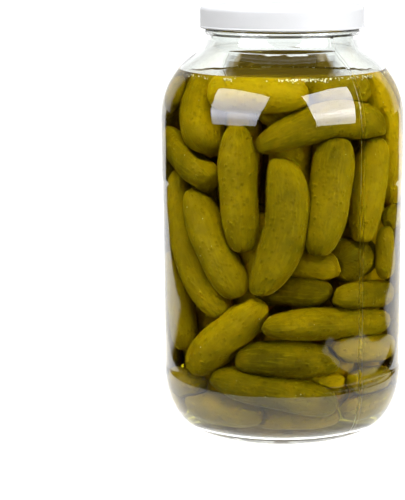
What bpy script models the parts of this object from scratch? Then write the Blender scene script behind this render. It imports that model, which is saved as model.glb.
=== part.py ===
"""A one-gallon glass jar of whole gherkins, shut with a white metal twist-off lid.

Frame: metres, +Z up, origin in the middle of the foot. The front of the jar faces -Y. An azimuth
is measured round the jar from the front, positive towards +X. All lengths below are millimetres
and become metres where a mesh is made.
"""
import math
import random

import bmesh
import bpy
from mathutils import Vector

MM = 0.001

# The jar: one turned wall of clear glass
BODY_RADIUS = 76.0
FOOT_RADIUS = 57.1
FOOT_RING_WIDTH = 5.0
PUSH_UP = 3.2
HEEL_HEIGHT = 36.5
PANEL_DEPTH = 0.45
PANEL_BOTTOM = 39.0
PANEL_TOP = 156.0
SHOULDER_HEIGHT = 195.2
SHOULDER_ROUND = 48.9
SHOULDER_TURN = math.radians(53.3)
SHOULDER_SLOPE = 7.6
NECK_FILLET = 8.2
BEAD_HEIGHT = 248.9
BEAD_HALF = 1.9
BEAD_PROUD = 1.2
RIM_HEIGHT = 263.9
RIM_ROUND = 1.1
WALL = 3.0
BASE_THICKNESS = 5.6
GLASS_STEPS = 40

# The finish: ridges of the glass that the lid's lugs turn under
THREADS = 6
THREAD_SWEEP = math.radians(42.0)
THREAD_TOP = 259.5
THREAD_DROP = 6.0
THREAD_RADIUS = 1.5

# The lid: one pressed tinplate shell
LID_RADIUS = 51.0
LID_BOTTOM = 251.1
LID_TOP = 265.5
LID_SHOULDER = 3.4
LID_SHEET = 0.5
LID_PANEL_RADIUS = 41.6
LID_RAMP = 3.0
LID_PANEL_DROP = 0.8
LID_CURL = 0.9

# The contents: whole gherkins packed up to the brine
BRINE_LEVEL = 224.0
FLOOR_HEIGHT = 10.0
GLASS_GAP = 0.6
GAP_STEP = 0.02
CORE_RADIUS = 54.0
CORE_BOTTOM = 13.0
CORE_TOP = 205.0
GHERKIN_SIDES = 8
GHERKIN_RINGS = 7

# Gherkins against the front of the glass, from the lid down. Each row holds one end and then the
# other, as an azimuth, a height and how far the gherkin's side lies behind the glass there, and
# then its thickness and its bow across the glass (up, or to the right when upright).
FRONT = [
    (-46, 214, 0, 14, 213, 0, 22, 0),
    (-18, 203, 20, 30, 206, 30, 20, 0),
    (16, 213, 12, 60, 214, 4, 20, 0),
    (69, 223, 0, 83, 142, 0, 25, 2),
    (-75, 222, 14, -44, 179, 0, 27, 0),
    (-13, 185, 0, 66, 193, 0, 22, 9),
    (-88, 186, 0, -38, 162, 0, 22, 0),
    (-25, 197, 1, -22, 121, 1, 23, -1),
    (0, 178, 0, -13, 95, 0, 26, 9),
    (31, 190, 1, 19, 119, 0, 26, 1),
    (60, 187, 2, 48, 124, 1, 24, 0),
    (-72, 166, 2, -35, 79, 2, 25, -13),
    (-56, 157, 0, -24, 93, 0, 25, -2),
    (33, 114, 3, 78, 110, 20, 27, 0),
    (67, 98, 0, 65, 131, 0, 17, 0),
    (32, 110, 4, -40, 116, 34, 20, 0),
    (28, 95, 4, -40, 99, 26, 22, 0),
    (29, 93, 0, 86, 84, 8, 18, 1),
    (-82, 112, 1, -66, 52, 1, 24, 0),
    (-60, 41, 1, -11, 90, 1, 24, 1),
    (-10, 76, 0, 74, 69, 0, 20, 3),
    (-27, 54, 2, 34, 51, 3, 23, 2),
    (29, 60, 3, 84, 50, 3, 18, 0),
    (37, 37, 6, -20, 44, 34, 15, 0),
    (39, 38, 3, 82, 31, 8, 17, 0),
    (-84, 29, 3, -52, 32, 7, 18, 0),
    (-42, 40, 0, 31, 24, 0, 22, 3),
    (36, 20, 3, 88, 20, 4, 16, 0),
    (-66, 20, 2, -12, 19, 6, 18, 0),
    (36, 17, 6, -20, 17, 14, 14, 0),
]

# The back repeats the front, half a turn on. These close the two seams between them.
SEAMS = [
    (66, 136, 1, 92, 134, 1, 16, 0),
    (84, 214, 1, 104, 196, 3, 19, 0),
    (92, 34, 1, 92, 82, 1, 20, 0),
    (92, 16, 2, 112, 16, 3, 13, 0),
    (-112, 135, 1, -87, 131, 1, 17, 0),
    (-92, 198, 3, -75, 213, 1, 18, 0),
    (-89, 33, 1, -87, 80, 1, 20, 0),
    (-89, 16, 2, -70, 16, 3, 13, 0),
]
WALL_FOLLOW = 0.6
UPRIGHT = 0.7


def clear_scene():
    """Take every object out of the open file."""
    for thing in list(bpy.data.objects):
        bpy.data.objects.remove(thing, do_unlink=True)


def new_collection(name):
    """A collection in the scene."""
    group = bpy.data.collections.new(name)
    bpy.context.scene.collection.children.link(group)
    return group


def new_object(name, mesh, group):
    """An object for a mesh, linked to one collection."""
    thing = bpy.data.objects.new(name, mesh)
    group.objects.link(thing)
    return thing


def material(name, color, roughness, metallic=0.0, alpha=1.0):
    """A Principled material with one plain colour."""
    finish = bpy.data.materials.new(name)
    finish.use_nodes = True
    shader = finish.node_tree.nodes["Principled BSDF"]
    shader.inputs["Base Color"].default_value = (*color, 1.0)
    shader.inputs["Roughness"].default_value = roughness
    shader.inputs["Metallic"].default_value = metallic
    shader.inputs["Alpha"].default_value = alpha
    return finish


def arc(center_r, center_z, radius_r, radius_z, start, end, steps):
    """Points of an ellipse's arc from one angle to another, both ends included."""
    points = []
    for step in range(steps + 1):
        angle = start + (end - start) * step / steps
        points.append((center_r + radius_r * math.cos(angle), center_z + radius_z * math.sin(angle)))
    return points


def shoulder(inset):
    """The shoulder from the body up to the neck, moved inwards by inset."""
    round_r = BODY_RADIUS - SHOULDER_ROUND
    points = arc(round_r, SHOULDER_HEIGHT, SHOULDER_ROUND - inset, SHOULDER_ROUND - inset,
                 0.0, SHOULDER_TURN, 4)
    slope_r = -math.sin(SHOULDER_TURN) * SHOULDER_SLOPE
    slope_z = math.cos(SHOULDER_TURN) * SHOULDER_SLOPE
    reach = SHOULDER_ROUND + NECK_FILLET
    fillet_r = round_r + reach * math.cos(SHOULDER_TURN) + slope_r
    fillet_z = SHOULDER_HEIGHT + reach * math.sin(SHOULDER_TURN) + slope_z
    points += arc(fillet_r, fillet_z, NECK_FILLET + inset, NECK_FILLET + inset,
                  math.pi + SHOULDER_TURN, math.pi, 2)
    return points


def outer_outline():
    """The outside of the glass from the foot ring up to the rim."""
    points = [(FOOT_RADIUS - FOOT_RING_WIDTH, 0.0)]
    points += arc(FOOT_RADIUS, HEEL_HEIGHT, BODY_RADIUS - FOOT_RADIUS, HEEL_HEIGHT,
                  -math.pi / 2, 0.0, 5)
    points += [(BODY_RADIUS - PANEL_DEPTH, PANEL_BOTTOM), (BODY_RADIUS - PANEL_DEPTH, PANEL_TOP),
               (BODY_RADIUS, PANEL_TOP + 3.0)]
    points += shoulder(0.0)
    neck = points[-1][0]
    points += arc(neck, BEAD_HEIGHT, BEAD_PROUD, BEAD_HALF, -math.pi / 2, math.pi / 2, 3)
    points += arc(neck - RIM_ROUND, RIM_HEIGHT - RIM_ROUND, RIM_ROUND, RIM_ROUND, 0.0, math.pi / 2, 2)
    return points


def inner_outline():
    """The inside of the glass from the middle of its base up to the rim."""
    floor = BASE_THICKNESS
    wall_radius = BODY_RADIUS - WALL
    heel_radius = FOOT_RADIUS - 3.0
    points = [(0.0, floor + PUSH_UP), (0.6 * heel_radius, floor + 0.6 * PUSH_UP)]
    points += arc(heel_radius, HEEL_HEIGHT, wall_radius - heel_radius, HEEL_HEIGHT - floor - 0.6,
                  -math.pi / 2, 0.0, 4)
    points += shoulder(WALL)
    neck = points[-1][0]
    points += arc(neck + RIM_ROUND, RIM_HEIGHT - RIM_ROUND, RIM_ROUND, RIM_ROUND, math.pi, math.pi / 2, 2)
    return points


def inner_radius(height):
    """The inside radius of the glass at a height."""
    outline = inner_outline()
    for (low_r, low_z), (high_r, high_z) in zip(outline, outline[1:]):
        if low_z <= height <= high_z and high_z > low_z:
            return low_r + (high_r - low_r) * (height - low_z) / (high_z - low_z)
    return 0.0


def turned(name, outline, steps, group):
    """A body of revolution from an outline in (radius, height) that runs down its outer side."""
    mesh = bpy.data.meshes.new(name)
    shape = bmesh.new()
    corners = [shape.verts.new((radius * MM, 0.0, height * MM)) for radius, height in outline]
    for first, second in zip(corners, corners[1:]):
        shape.edges.new((first, second))
    if outline[0][0] > 0.0:
        shape.edges.new((corners[-1], corners[0]))
    shape.to_mesh(mesh)
    shape.free()
    thing = new_object(name, mesh, group)
    screw = thing.modifiers.new("turn", "SCREW")
    screw.axis = "Z"
    screw.steps = steps
    screw.render_steps = steps
    screw.use_merge_vertices = True
    screw.merge_threshold = 0.00001
    return thing


def bake(thing):
    """Turn an object's modifiers into plain mesh."""
    graph = bpy.context.evaluated_depsgraph_get()
    mesh = bpy.data.meshes.new_from_object(thing.evaluated_get(graph))
    thing.modifiers.clear()
    thing.data = mesh
    return thing


def fuse(thing, pieces, solver):
    """Join every object of a collection to one object, then take the collection's objects out."""
    union = thing.modifiers.new("fuse", "BOOLEAN")
    union.operation = "UNION"
    union.operand_type = "COLLECTION"
    union.collection = pieces
    union.solver = solver
    bake(thing)
    for piece in list(pieces.objects):
        bpy.data.objects.remove(piece, do_unlink=True)
    bpy.data.collections.remove(pieces)


def keep_outside(thing):
    """Keep only a mesh's largest closed surface: sealed hollows are filled and loose scraps dropped."""
    shape = bmesh.new()
    shape.from_mesh(thing.data)
    bmesh.ops.triangulate(shape, faces=shape.faces)
    left = set(shape.faces)
    surfaces = []
    while left:
        surface = {left.pop()}
        to_visit = list(surface)
        while to_visit:
            face = to_visit.pop()
            for edge in face.edges:
                for other in edge.link_faces:
                    if other in left:
                        left.remove(other)
                        surface.add(other)
                        to_visit.append(other)
        surfaces.append(surface)
    largest = max(surfaces, key=lambda surface: sum(face.calc_area() for face in surface))
    scraps = [face for face in shape.faces if face not in largest]
    bmesh.ops.delete(shape, geom=scraps, context="FACES")
    shape.to_mesh(thing.data)
    shape.free()


def shade(thing, finish, angle):
    """Give an object its material and smooth shading up to an edge angle."""
    thing.data.materials.clear()
    thing.data.materials.append(finish)
    thing.data.shade_smooth()
    thing.data.set_sharp_from_angle(angle=math.radians(angle))


def glass_thread(number, group):
    """One sloping ridge of the finish, half sunk in the neck."""
    neck = outer_outline()[-1][0] + 0.2
    curve = bpy.data.curves.new(f"thread_{number}", "CURVE")
    curve.dimensions = "3D"
    curve.bevel_depth = THREAD_RADIUS * MM
    curve.bevel_resolution = 1
    curve.use_fill_caps = True
    line = curve.splines.new("POLY")
    count = 7
    line.points.add(count - 1)
    start = math.tau * number / THREADS
    for step, point in enumerate(line.points):
        share = step / (count - 1)
        angle = start + THREAD_SWEEP * share
        height = THREAD_TOP - THREAD_DROP * share
        point.co = (neck * math.sin(angle) * MM, -neck * math.cos(angle) * MM, height * MM, 1.0)
    ridge = bpy.data.objects.new(f"thread_{number}", curve)
    group.objects.link(ridge)
    bpy.context.view_layer.update()
    mesh = bpy.data.meshes.new_from_object(ridge.evaluated_get(bpy.context.evaluated_depsgraph_get()))
    bpy.data.objects.remove(ridge, do_unlink=True)
    shape = bmesh.new()
    shape.from_mesh(mesh)
    bmesh.ops.remove_doubles(shape, verts=shape.verts, dist=0.00001)
    bmesh.ops.recalc_face_normals(shape, faces=shape.faces)
    shape.to_mesh(mesh)
    shape.free()
    new_object(f"thread_{number}", mesh, group)


def glass_jar(group):
    """The jar: a turned wall with a pushed-up base, a bead under the lid and thread ridges."""
    outline = inner_outline() + list(reversed(outer_outline())) + [(0.0, PUSH_UP)]
    jar = bake(turned("glass_jar", outline, GLASS_STEPS, group))
    threads = new_collection("threads")
    for number in range(THREADS):
        glass_thread(number, threads)
    fuse(jar, threads, "EXACT")
    shade(jar, material("clear_glass", (0.93, 0.96, 0.95), 0.03, alpha=0.3), 25)


def lid(group):
    """The lid: top panel, rounded shoulder, straight skirt and an inward curl at its lower edge."""
    side = LID_RADIUS - LID_SHOULDER
    panel = LID_TOP - LID_PANEL_DROP
    top = arc(side, LID_TOP - LID_SHOULDER, LID_SHOULDER, LID_SHOULDER, math.pi / 2, 0.0, 3)
    inner_round = LID_SHOULDER - LID_SHEET
    under = arc(side, LID_TOP - LID_SHOULDER, inner_round, inner_round, 0.0, math.pi / 2, 2)
    curl = arc(LID_RADIUS - LID_CURL + 0.2, LID_BOTTOM + LID_CURL, LID_CURL, LID_CURL,
               0.25 * math.pi, -1.25 * math.pi, 4)
    outline = [(0.0, panel), (LID_PANEL_RADIUS, panel), (LID_PANEL_RADIUS + LID_RAMP, LID_TOP)] + top
    outline += curl + under
    outline += [(LID_PANEL_RADIUS + LID_RAMP, LID_TOP - LID_SHEET),
                (LID_PANEL_RADIUS, panel - LID_SHEET), (0.0, panel - LID_SHEET)]
    cap = bake(turned("lid", outline, GLASS_STEPS, group))
    shade(cap, material("white_lacquer", (0.9, 0.9, 0.9), 0.25), 30)


def wall_point(azimuth, height, depth):
    """A point inside the jar, given its depth behind the inner face of the glass."""
    radius = max(inner_radius(height) - depth, 0.0)
    angle = math.radians(azimuth)
    return Vector((radius * math.sin(angle), -radius * math.cos(angle), height))


def inside_glass(point, gap):
    """The point itself, or the nearest place at its height that is clear of the glass by a gap."""
    height = min(max(point.z, FLOOR_HEIGHT + gap), BRINE_LEVEL - gap)
    limit = inner_radius(height) - gap
    reach = math.hypot(point.x, point.y)
    scale = min(1.0, limit / reach) if reach > 0.0 else 1.0
    return Vector((point.x * scale, point.y * scale, height))


def gherkin(name, start, end, middle, thickness, group):
    """A bowed, round-ended gherkin between two tips, through a middle point."""
    mesh = bpy.data.meshes.new(name)
    shape = bmesh.new()
    bmesh.ops.create_uvsphere(shape, u_segments=GHERKIN_SIDES, v_segments=GHERKIN_RINGS, radius=1.0)
    along = end - start
    chord = along.length
    forward = along.normalized()
    side = forward.cross(Vector((0.0, 0.0, 1.0)) if abs(forward.z) < 0.9 else Vector((1.0, 0.0, 0.0)))
    side.normalize()
    up = side.cross(forward)
    bow = middle - (start + end) / 2
    gap = GLASS_GAP + GAP_STEP * len(group.objects)
    for vert in shape.verts:
        polar = math.acos(max(-1.0, min(1.0, vert.co.z)))
        share = math.copysign(abs(math.cos(polar)) ** 0.75, math.cos(polar))
        girth = math.sin(polar) ** 0.62 * thickness / 2
        turn = math.atan2(vert.co.y, vert.co.x)
        axis = (start + end) / 2 + forward * (share * chord / 2) + bow * (1.0 - share * share)
        place = axis + side * (girth * math.cos(turn)) + up * (girth * math.sin(turn))
        vert.co = inside_glass(place, gap) * MM
    bmesh.ops.recalc_face_normals(shape, faces=shape.faces)
    shape.to_mesh(mesh)
    shape.free()
    return new_object(name, mesh, group)


def wall_gherkin(name, row, group):
    """A gherkin that lies along the glass, given as a row of FRONT."""
    azimuth_a, height_a, behind_a, azimuth_b, height_b, behind_b, thickness, bow = row
    start = wall_point(azimuth_a, height_a, thickness / 2 + behind_a)
    end = wall_point(azimuth_b, height_b, thickness / 2 + behind_b)
    straight = (start + end) / 2
    azimuth = (azimuth_a + azimuth_b) / 2
    along_wall = wall_point(azimuth, straight.z, (thickness + behind_a + behind_b) / 2)
    if abs(height_a - height_b) > UPRIGHT * (end - start).length:
        angle = math.radians(azimuth)
        across = Vector((math.cos(angle), math.sin(angle), 0.0))
    else:
        across = Vector((0.0, 0.0, 1.0))
    middle = straight.lerp(along_wall, WALL_FOLLOW) + across * bow
    gherkin(name, start, end, middle, thickness, group)


def pickles(group):
    """The heap: a core with the gherkins that show from outside fused on."""
    bpy.ops.mesh.primitive_cylinder_add(
        vertices=16, radius=CORE_RADIUS * MM, depth=(CORE_TOP - CORE_BOTTOM) * MM,
        location=(0.0, 0.0, (CORE_TOP + CORE_BOTTOM) / 2 * MM))
    heap = bpy.context.object
    for holder in list(heap.users_collection):
        holder.objects.unlink(heap)
    group.objects.link(heap)
    heap.name = "pickles"
    pieces = new_collection("gherkins")
    for number, row in enumerate(FRONT):
        wall_gherkin(f"front_{number}", row, pieces)
        azimuth_a, height_a, behind_a, azimuth_b, height_b, behind_b, thickness, bow = row
        turned = (180 + azimuth_a, height_a, behind_a, 180 + azimuth_b, height_b, behind_b,
                  thickness, bow)
        wall_gherkin(f"back_{number}", turned, pieces)
    for number, row in enumerate(SEAMS):
        wall_gherkin(f"seam_{number}", row, pieces)
    draw = random.Random(4)
    for number in range(4):
        heading = math.radians(25 + 7 * number)
        offset = -33 + 22 * number
        half = math.sqrt(52 ** 2 - offset ** 2)
        across = Vector((math.sin(heading), -math.cos(heading), 0.0))
        along = Vector((math.cos(heading), math.sin(heading), 0.0))
        center = across * offset + Vector((0.0, 0.0, 208.0 + draw.uniform(-3, 3)))
        gherkin(f"top_{number}", center - along * half, center + along * half,
                center + Vector((0.0, 0.0, 3.0)), 23, pieces)
    fuse(heap, pieces, "EXACT")
    keep_outside(heap)
    shade(heap, material("gherkin_green", (0.20, 0.16, 0.02), 0.4), 50)


clear_scene()
jar_parts = new_collection("pickle_jar")
glass_jar(jar_parts)
lid(jar_parts)
pickles(jar_parts)
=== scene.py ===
import math
import random

import bmesh
import bpy
import numpy as np
from mathutils import Matrix, Vector, noise


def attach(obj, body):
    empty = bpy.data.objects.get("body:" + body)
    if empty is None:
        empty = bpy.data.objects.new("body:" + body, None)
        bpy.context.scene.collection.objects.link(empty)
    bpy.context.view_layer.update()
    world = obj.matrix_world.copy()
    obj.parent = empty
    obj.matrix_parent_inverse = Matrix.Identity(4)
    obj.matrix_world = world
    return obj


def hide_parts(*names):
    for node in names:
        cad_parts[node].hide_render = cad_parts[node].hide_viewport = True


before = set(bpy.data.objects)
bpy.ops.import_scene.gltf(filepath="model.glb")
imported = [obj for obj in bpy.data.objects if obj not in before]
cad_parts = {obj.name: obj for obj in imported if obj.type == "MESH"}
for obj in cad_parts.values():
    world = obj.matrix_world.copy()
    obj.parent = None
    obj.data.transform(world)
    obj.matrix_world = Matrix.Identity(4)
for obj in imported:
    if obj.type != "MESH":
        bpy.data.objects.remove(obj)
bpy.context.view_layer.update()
scene = bpy.context.scene

# Sizes are in millimetres up to where a mesh is made. Those of the studio, but for the camera, are
# in metres.
MM = 0.001

# ------------------------------------------------------------------------------------------------
# Camera and studio. A long lens looks a little down on the jar, which stands on a white sweep that
# is over-exposed behind it. Two soft boxes stand in front, left and right, and the rest of the
# room in front is dark.
# ------------------------------------------------------------------------------------------------
CAMERA_DISTANCE = 958.8
CAMERA_HEIGHT = 303.6
CAMERA_DROP = math.radians(11.41)
LENS = 110.2
SENSOR = 36.0
SHIFT = -0.1596

lens = bpy.data.cameras.new("camera")
lens.sensor_fit = "AUTO"
lens.sensor_width = SENSOR
lens.lens = LENS
lens.shift_x = SHIFT
lens.clip_start = 0.01
camera = bpy.data.objects.new("camera", lens)
camera.location = (0.0, -CAMERA_DISTANCE * MM, CAMERA_HEIGHT * MM)
camera.rotation_euler = (math.pi / 2 - CAMERA_DROP, 0.0, 0.0)
scene.collection.objects.link(camera)
scene.camera = camera
scene.view_settings.view_transform = "Standard"
scene.cycles.max_bounces = 20
scene.cycles.transmission_bounces = 20
scene.cycles.glossy_bounces = 8
scene.cycles.diffuse_bounces = 4
scene.cycles.transparent_max_bounces = 12
scene.cycles.sample_clamp_indirect = 6.0
scene.cycles.blur_glossy = 0.5


def linear(hex_color):
    """An sRGB hex colour as linear red, green, blue and 1."""
    channels = [int(hex_color[place:place + 2], 16) / 255 for place in (1, 3, 5)]
    return (*[c / 12.92 if c <= 0.04045 else ((c + 0.055) / 1.055) ** 2.4 for c in channels], 1.0)


def add(tree, kind, inputs=None, **settings):
    """A new node with its settings, its inputs set to values or linked to other sockets."""
    made = tree.nodes.new(kind)
    for name, value in settings.items():
        setattr(made, name, value)
    for socket, value in (inputs or {}).items():
        if isinstance(value, bpy.types.NodeSocket):
            tree.links.new(value, made.inputs[socket])
        else:
            made.inputs[socket].default_value = value
    return made


def facing(azimuth, top, bottom):
    """Where a panel stands that leans over the jar. Each edge is a distance and a height."""
    angle = math.radians(azimuth)
    outwards = Vector((math.sin(angle), -math.cos(angle), 0.0))
    high = outwards * top[0] + Vector((0.0, 0.0, top[1]))
    low = outwards * bottom[0] + Vector((0.0, 0.0, bottom[1]))
    up = (high - low).normalized()
    across = Vector((math.cos(angle), math.sin(angle), 0.0))
    turn = Matrix((across, up, across.cross(up))).transposed()
    return Matrix.Translation((high + low) / 2) @ turn.to_4x4()


# Each lamp has an azimuth round the jar from the front, a top and a bottom edge, each as a distance
# and a height, a width, and a power in watts. None of them shows in the glass.
LAMPS = [
    ("right_lamp", 55.0, (0.80, 0.95), (1.20, 0.15), 0.80, 5.0),
    ("left_lamp", -50.0, (0.80, 0.95), (1.20, 0.20), 0.90, 3.0),
    ("right_side", 76.0, (0.36, 0.19), (0.39, 0.02), 0.34, 1.85),
    ("left_rim", -120.0, (1.00, 0.75), (1.20, 0.05), 0.60, 7.0),
    ("top_lamp", -5.0, (0.30, 1.15), (0.85, 1.00), 0.80, 24.0),
]
for name, azimuth, top, bottom, width, power in LAMPS:
    lamp = bpy.data.lights.new(name, "AREA")
    lamp.shape = "RECTANGLE"
    lamp.size = width
    lamp.size_y = math.dist(top, bottom)
    lamp.energy = power
    holder = bpy.data.objects.new(name, lamp)
    holder.matrix_world = facing(azimuth, top, bottom)
    holder.visible_camera = False
    holder.visible_glossy = False
    holder.visible_transmission = False
    scene.collection.objects.link(holder)

# The faces of the two soft boxes, which only show as reflections on the glass and the lid: each has
# an azimuth, a width and a brightness. A brighter band lies low on each, where its tube is.
BOX_TOP = (0.744, 0.92)
BOX_BOTTOM = (1.2, 0.20)
BOXES = [("right_box", 50.0, 0.83, 20.0), ("left_box", -45.0, 0.92, 14.0)]
for name, azimuth, width, brightness in BOXES:
    box_mesh = bpy.data.meshes.new(name)
    shape = bmesh.new()
    bmesh.ops.create_grid(shape, x_segments=1, y_segments=1, size=0.5)
    bmesh.ops.scale(shape, verts=shape.verts, vec=(width, math.dist(BOX_TOP, BOX_BOTTOM), 1.0))
    shape.to_mesh(box_mesh)
    shape.free()
    box = bpy.data.objects.new(name, box_mesh)
    box.matrix_world = facing(azimuth, BOX_TOP, BOX_BOTTOM)
    box.visible_camera = False
    box.visible_diffuse = False
    box.visible_shadow = False
    box.visible_volume_scatter = False
    scene.collection.objects.link(box)
    cloth = bpy.data.materials.new(name + "_cloth")
    cloth.use_nodes = True
    cloth.cycles.emission_sampling = "NONE"
    tree = cloth.node_tree
    tree.nodes.clear()
    place = add(tree, "ShaderNodeTexCoord")
    apart = add(tree, "ShaderNodeSeparateXYZ", {0: place.outputs["Object"]})
    band = add(tree, "ShaderNodeMapRange", {0: apart.outputs["Y"], 1: -0.02, 2: -0.10, 3: 0.72,
                                            4: 1.0}, interpolation_type="SMOOTHSTEP")
    wrinkle = add(tree, "ShaderNodeTexNoise", {"Vector": place.outputs["Object"], "Scale": 5.0,
                                               "Detail": 2.0})
    soft = add(tree, "ShaderNodeMapRange", {0: wrinkle.outputs[0], 1: 0.3, 2: 0.7, 3: 0.85,
                                            4: 1.1})
    falling = add(tree, "ShaderNodeMapRange", {0: apart.outputs["Y"], 1: -0.33, 2: -0.10, 3: 0.5,
                                               4: 1.0}, interpolation_type="SMOOTHSTEP")
    banded = add(tree, "ShaderNodeMath", {0: band.outputs[0], 1: falling.outputs[0]},
                 operation="MULTIPLY")
    level = add(tree, "ShaderNodeMath", {0: banded.outputs[0], 1: soft.outputs[0]},
                operation="MULTIPLY")
    strength = add(tree, "ShaderNodeMath", {0: level.outputs[0], 1: brightness},
                   operation="MULTIPLY")
    face = add(tree, "ShaderNodeEmission", {"Color": linear("#f0f2fc"),
                                            "Strength": strength.outputs[0]})
    add(tree, "ShaderNodeOutputMaterial", {"Surface": face.outputs[0]})
    box_mesh.materials.append(cloth)

# The sweep is white to the eye. What the glass reflects and shows of it is a glow painted on it,
# which is no lamp: bright only close to the jar, in a patch to its right that stands for a white
# board, and behind it, most of all to both sides of the middle. The rest of the room is dark, and
# so is the middle of the back wall above the sweep. Where this glow is dim it is yellowish. Each
# edge of a bright patch is a direction outwards, along X and Y, and how far from the jar's axis the
# edge lies.
FLOOR_RADIUS = 12.0
NEAR_EDGES = [(0.0, -1.0, 0.203), (1.0, 0.0, 0.179), (0.707, -0.707, 0.172), (-1.0, 0.0, 0.19),
              (-0.707, -0.707, 0.19), (0.0, 1.0, 0.20)]
BOARD_EDGES = [(-0.988, 0.152, -0.208), (0.0, -1.0, 0.262), (0.861, -0.509, 0.324),
               (0.981, 0.193, 0.288), (0.0, 1.0, 0.14)]
EDGE_SOFTNESS = 0.006
OPEN_HALF = 0.343
OPEN_SPREAD = 0.31
FAR_SPREAD = 0.776
NEAR_GLOW = 1.8
BOARD_GLOW = 1.2
BACK_GLOW = 1.2
BACK_REACH = 4.1
SIDE_GLOW = 1.5
MIDDLE_GLOW = 0.09
DARK_GLOW = 0.006
DIM_TONE = "#ffd650"

floor_mesh = bpy.data.meshes.new("floor")
shape = bmesh.new()
bmesh.ops.create_circle(shape, cap_ends=True, segments=64, radius=FLOOR_RADIUS)
shape.to_mesh(floor_mesh)
shape.free()
floor = bpy.data.objects.new("floor", floor_mesh)
scene.collection.objects.link(floor)

white_sweep = bpy.data.materials.new("white_sweep")
white_sweep.use_nodes = True
tree = white_sweep.node_tree
tree.nodes.clear()
path = add(tree, "ShaderNodeLightPath")
place = add(tree, "ShaderNodeTexCoord")
apart = add(tree, "ShaderNodeSeparateXYZ", {0: place.outputs["Object"]})
away = add(tree, "ShaderNodeVectorMath", {0: place.outputs["Object"]}, operation="LENGTH")
patches = []
for edges, level in ((NEAR_EDGES, NEAR_GLOW), (BOARD_EDGES, BOARD_GLOW)):
    outside = None
    for along_x, along_y, reach in edges:
        part_x = add(tree, "ShaderNodeMath", {0: apart.outputs["X"], 1: along_x, 2: -reach},
                     operation="MULTIPLY_ADD")
        beyond = add(tree, "ShaderNodeMath", {0: apart.outputs["Y"], 1: along_y,
                                              2: part_x.outputs[0]}, operation="MULTIPLY_ADD")
        if outside is None:
            outside = beyond
        else:
            outside = add(tree, "ShaderNodeMath", {0: outside.outputs[0], 1: beyond.outputs[0]},
                          operation="MAXIMUM")
    patches.append(add(tree, "ShaderNodeMapRange",
                       {0: outside.outputs[0], 1: -EDGE_SOFTNESS, 2: EDGE_SOFTNESS, 3: level,
                        4: 0.0}, interpolation_type="SMOOTHSTEP"))
around = add(tree, "ShaderNodeMath", {0: patches[0].outputs[0], 1: patches[1].outputs[0]},
             operation="MAXIMUM")
aside = add(tree, "ShaderNodeMath", {0: apart.outputs["X"]}, operation="ABSOLUTE")
course = add(tree, "ShaderNodeMath", {0: aside.outputs[0], 1: away.outputs["Value"]},
             operation="DIVIDE")
# Behind the jar, the middle of the sweep is a little less bright than its sides, and dark far off.
lit_back = add(tree, "ShaderNodeMapRange", {0: course.outputs[0], 1: 0.15, 2: 0.42, 3: BACK_GLOW,
                                            4: SIDE_GLOW}, interpolation_type="SMOOTHSTEP")
far = add(tree, "ShaderNodeMapRange", {0: away.outputs["Value"], 1: BACK_REACH,
                                       2: BACK_REACH + 0.5, 3: 0.0, 4: 1.0})
central = add(tree, "ShaderNodeMapRange", {0: course.outputs[0], 1: 0.045, 2: 0.065, 3: 1.0,
                                           4: 0.0})
hidden = add(tree, "ShaderNodeMath", {0: far.outputs[0], 1: central.outputs[0]},
             operation="MULTIPLY")
back = add(tree, "ShaderNodeMix", {0: hidden.outputs[0], 2: lit_back.outputs[0], 3: MIDDLE_GLOW})
# The bright part behind opens out on both sides with its distance from the jar.
edge = add(tree, "ShaderNodeMath", {0: apart.outputs["Y"], 1: OPEN_SPREAD, 2: OPEN_HALF},
           operation="MULTIPLY_ADD")
far_edge = add(tree, "ShaderNodeMath", {0: apart.outputs["Y"], 1: FAR_SPREAD},
               operation="MULTIPLY")
limit = add(tree, "ShaderNodeMath", {0: edge.outputs[0], 1: far_edge.outputs[0]},
            operation="MAXIMUM")
within = add(tree, "ShaderNodeMath", {0: limit.outputs[0], 1: aside.outputs[0]},
             operation="SUBTRACT")
wide = add(tree, "ShaderNodeMapRange", {0: within.outputs[0], 1: -0.02, 2: 0.02, 3: 0.0, 4: 1.0},
           interpolation_type="SMOOTHSTEP")
deep = add(tree, "ShaderNodeMapRange", {0: apart.outputs["Y"], 1: 0.08, 2: 0.14, 3: 0.0, 4: 1.0},
           interpolation_type="SMOOTHSTEP")
opened = add(tree, "ShaderNodeMath", {0: wide.outputs[0], 1: deep.outputs[0]},
             operation="MULTIPLY")
behind = add(tree, "ShaderNodeMix", {0: opened.outputs[0], 2: DARK_GLOW, 3: back.outputs[0]})
glow = add(tree, "ShaderNodeMath", {0: behind.outputs[0], 1: around.outputs[0]},
           operation="MAXIMUM")
# Matt surfaces get their light from the part of the sweep that lies round the foot.
diffused = add(tree, "ShaderNodeMath", {0: path.outputs["Diffuse Depth"], 1: 0.5},
               operation="GREATER_THAN")
under = add(tree, "ShaderNodeMapRange", {0: away.outputs["Value"], 1: 0.15, 2: 0.45, 3: 1.7,
                                         4: 0.15})
seen = add(tree, "ShaderNodeMix", {0: diffused.outputs[0], 2: glow.outputs[0],
                                   3: under.outputs[0]})
# The painted glow that the glass reflects and shows, yellowish where it is dim.
dim = add(tree, "ShaderNodeMapRange", {0: seen.outputs[0], 1: 0.1, 2: 0.8})
tone = add(tree, "ShaderNodeMix", {0: dim.outputs[0], 6: linear(DIM_TONE), 7: linear("#ffffff")},
           data_type="RGBA")
painted_glow = add(tree, "ShaderNodeEmission", {"Color": tone.outputs[2], "Strength": seen.outputs[0]})
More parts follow.
